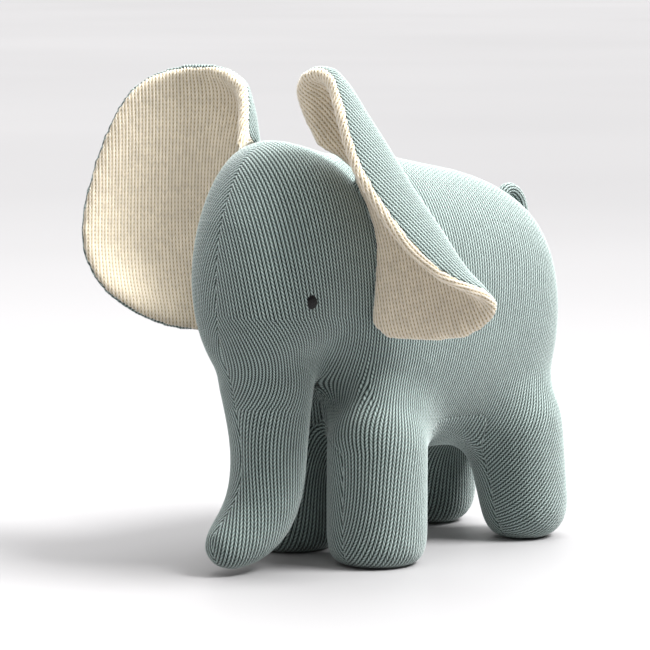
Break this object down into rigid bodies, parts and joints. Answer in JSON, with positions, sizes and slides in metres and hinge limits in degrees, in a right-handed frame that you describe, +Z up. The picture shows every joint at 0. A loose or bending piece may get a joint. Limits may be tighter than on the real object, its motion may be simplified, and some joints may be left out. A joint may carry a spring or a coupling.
{
  "type": "stuffed toy elephant",
  "caption": "Knitted stuffed elephant standing on four padded legs, with a hanging trunk that bends, cupped two-tone padded ears sewn to the head and a cord tail.",
  "frame": {"origin": "on the floor under the middle of the toy's bounding box, on its centre plane", "axes": "+Z up, -Y towards the trunk and face, +X towards the toy's left side"},
  "size_m": [0.2535, 0.2758, 0.2997],
  "materials": {
    "sage_knit": "matte",
    "cream_knit": "matte",
    "polyester_fill": "matte",
    "eye_thread": "satin",
    "sage_thread": "matte",
    "sage_yarn": "matte"
  },
  "bodies": {
    "root": {"left_side_panel": "sage_knit", "right_side_panel": "sage_knit", "belly_gusset": "sage_knit", "body_stuffing": "polyester_fill", "left_eye": "eye_thread", "right_eye": "eye_thread"},
    "trunk": {"trunk_cover_left": "sage_knit", "trunk_cover_right": "sage_knit", "trunk_stuffing": "polyester_fill"},
    "front_left_leg": {"front_left_leg_cover": "sage_knit", "front_left_leg_stuffing": "polyester_fill"},
    "front_right_leg": {"front_right_leg_cover": "sage_knit", "front_right_leg_stuffing": "polyester_fill"},
    "rear_left_leg": {"rear_left_leg_cover": "sage_knit", "rear_left_leg_stuffing": "polyester_fill"},
    "rear_right_leg": {"rear_right_leg_cover": "sage_knit", "rear_right_leg_stuffing": "polyester_fill"},
    "left_ear": {"left_ear_back": "sage_knit", "left_ear_lining": "cream_knit", "left_ear_wadding": "polyester_fill", "left_ear_root_stitches": "sage_thread"},
    "right_ear": {"right_ear_back": "sage_knit", "right_ear_lining": "cream_knit", "right_ear_wadding": "polyester_fill", "right_ear_root_stitches": "sage_thread"},
    "tail": {"tail_cord": "sage_yarn", "tail_knot": "sage_yarn"}
  },
  "joints": [
    {"name": "trunk_bend", "type": "hinge", "parent": "root", "child": "trunk", "pos_m": [0, -0.094, 0.112], "axis": [-1, 0, 0], "range_deg": [-6, 16], "stiffness_Nm_per_rad": 0.6},
    {"name": "front_left_leg_swing", "type": "hinge", "parent": "root", "child": "front_left_leg", "pos_m": [0.036, -0.037, 0.072], "axis": [-1, 0, 0], "range_deg": [-8, 8], "stiffness_Nm_per_rad": 2},
    {"name": "front_right_leg_swing", "type": "hinge", "parent": "root", "child": "front_right_leg", "pos_m": [-0.036, -0.037, 0.072], "axis": [-1, 0, 0], "range_deg": [-8, 8], "stiffness_Nm_per_rad": 2},
    {"name": "rear_left_leg_swing", "type": "hinge", "parent": "root", "child": "rear_left_leg", "pos_m": [0.036, 0.084, 0.072], "axis": [-1, 0, 0], "range_deg": [-8, 8], "stiffness_Nm_per_rad": 2},
    {"name": "rear_right_leg_swing", "type": "hinge", "parent": "root", "child": "rear_right_leg", "pos_m": [-0.036, 0.084, 0.072], "axis": [-1, 0, 0], "range_deg": [-8, 8], "stiffness_Nm_per_rad": 2},
    {"name": "left_ear_flap", "type": "hinge", "parent": "root", "child": "left_ear", "pos_m": [0.051, -0.05, 0.147], "axis": [-0.1158, -0.0842, 0.9897], "range_deg": [-15, 15], "stiffness_Nm_per_rad": 0.08},
    {"name": "right_ear_flap", "type": "hinge", "parent": "root", "child": "right_ear", "pos_m": [-0.052, -0.057, 0.139], "axis": [-0.1251, 0.0521, -0.9908], "range_deg": [-15, 25], "stiffness_Nm_per_rad": 0.08},
    {"name": "tail_lift", "type": "hinge", "parent": "root", "child": "tail", "pos_m": [0, 0.111, 0.211], "axis": [1, 0, 0], "range_deg": [0, 80]}
  ]
}
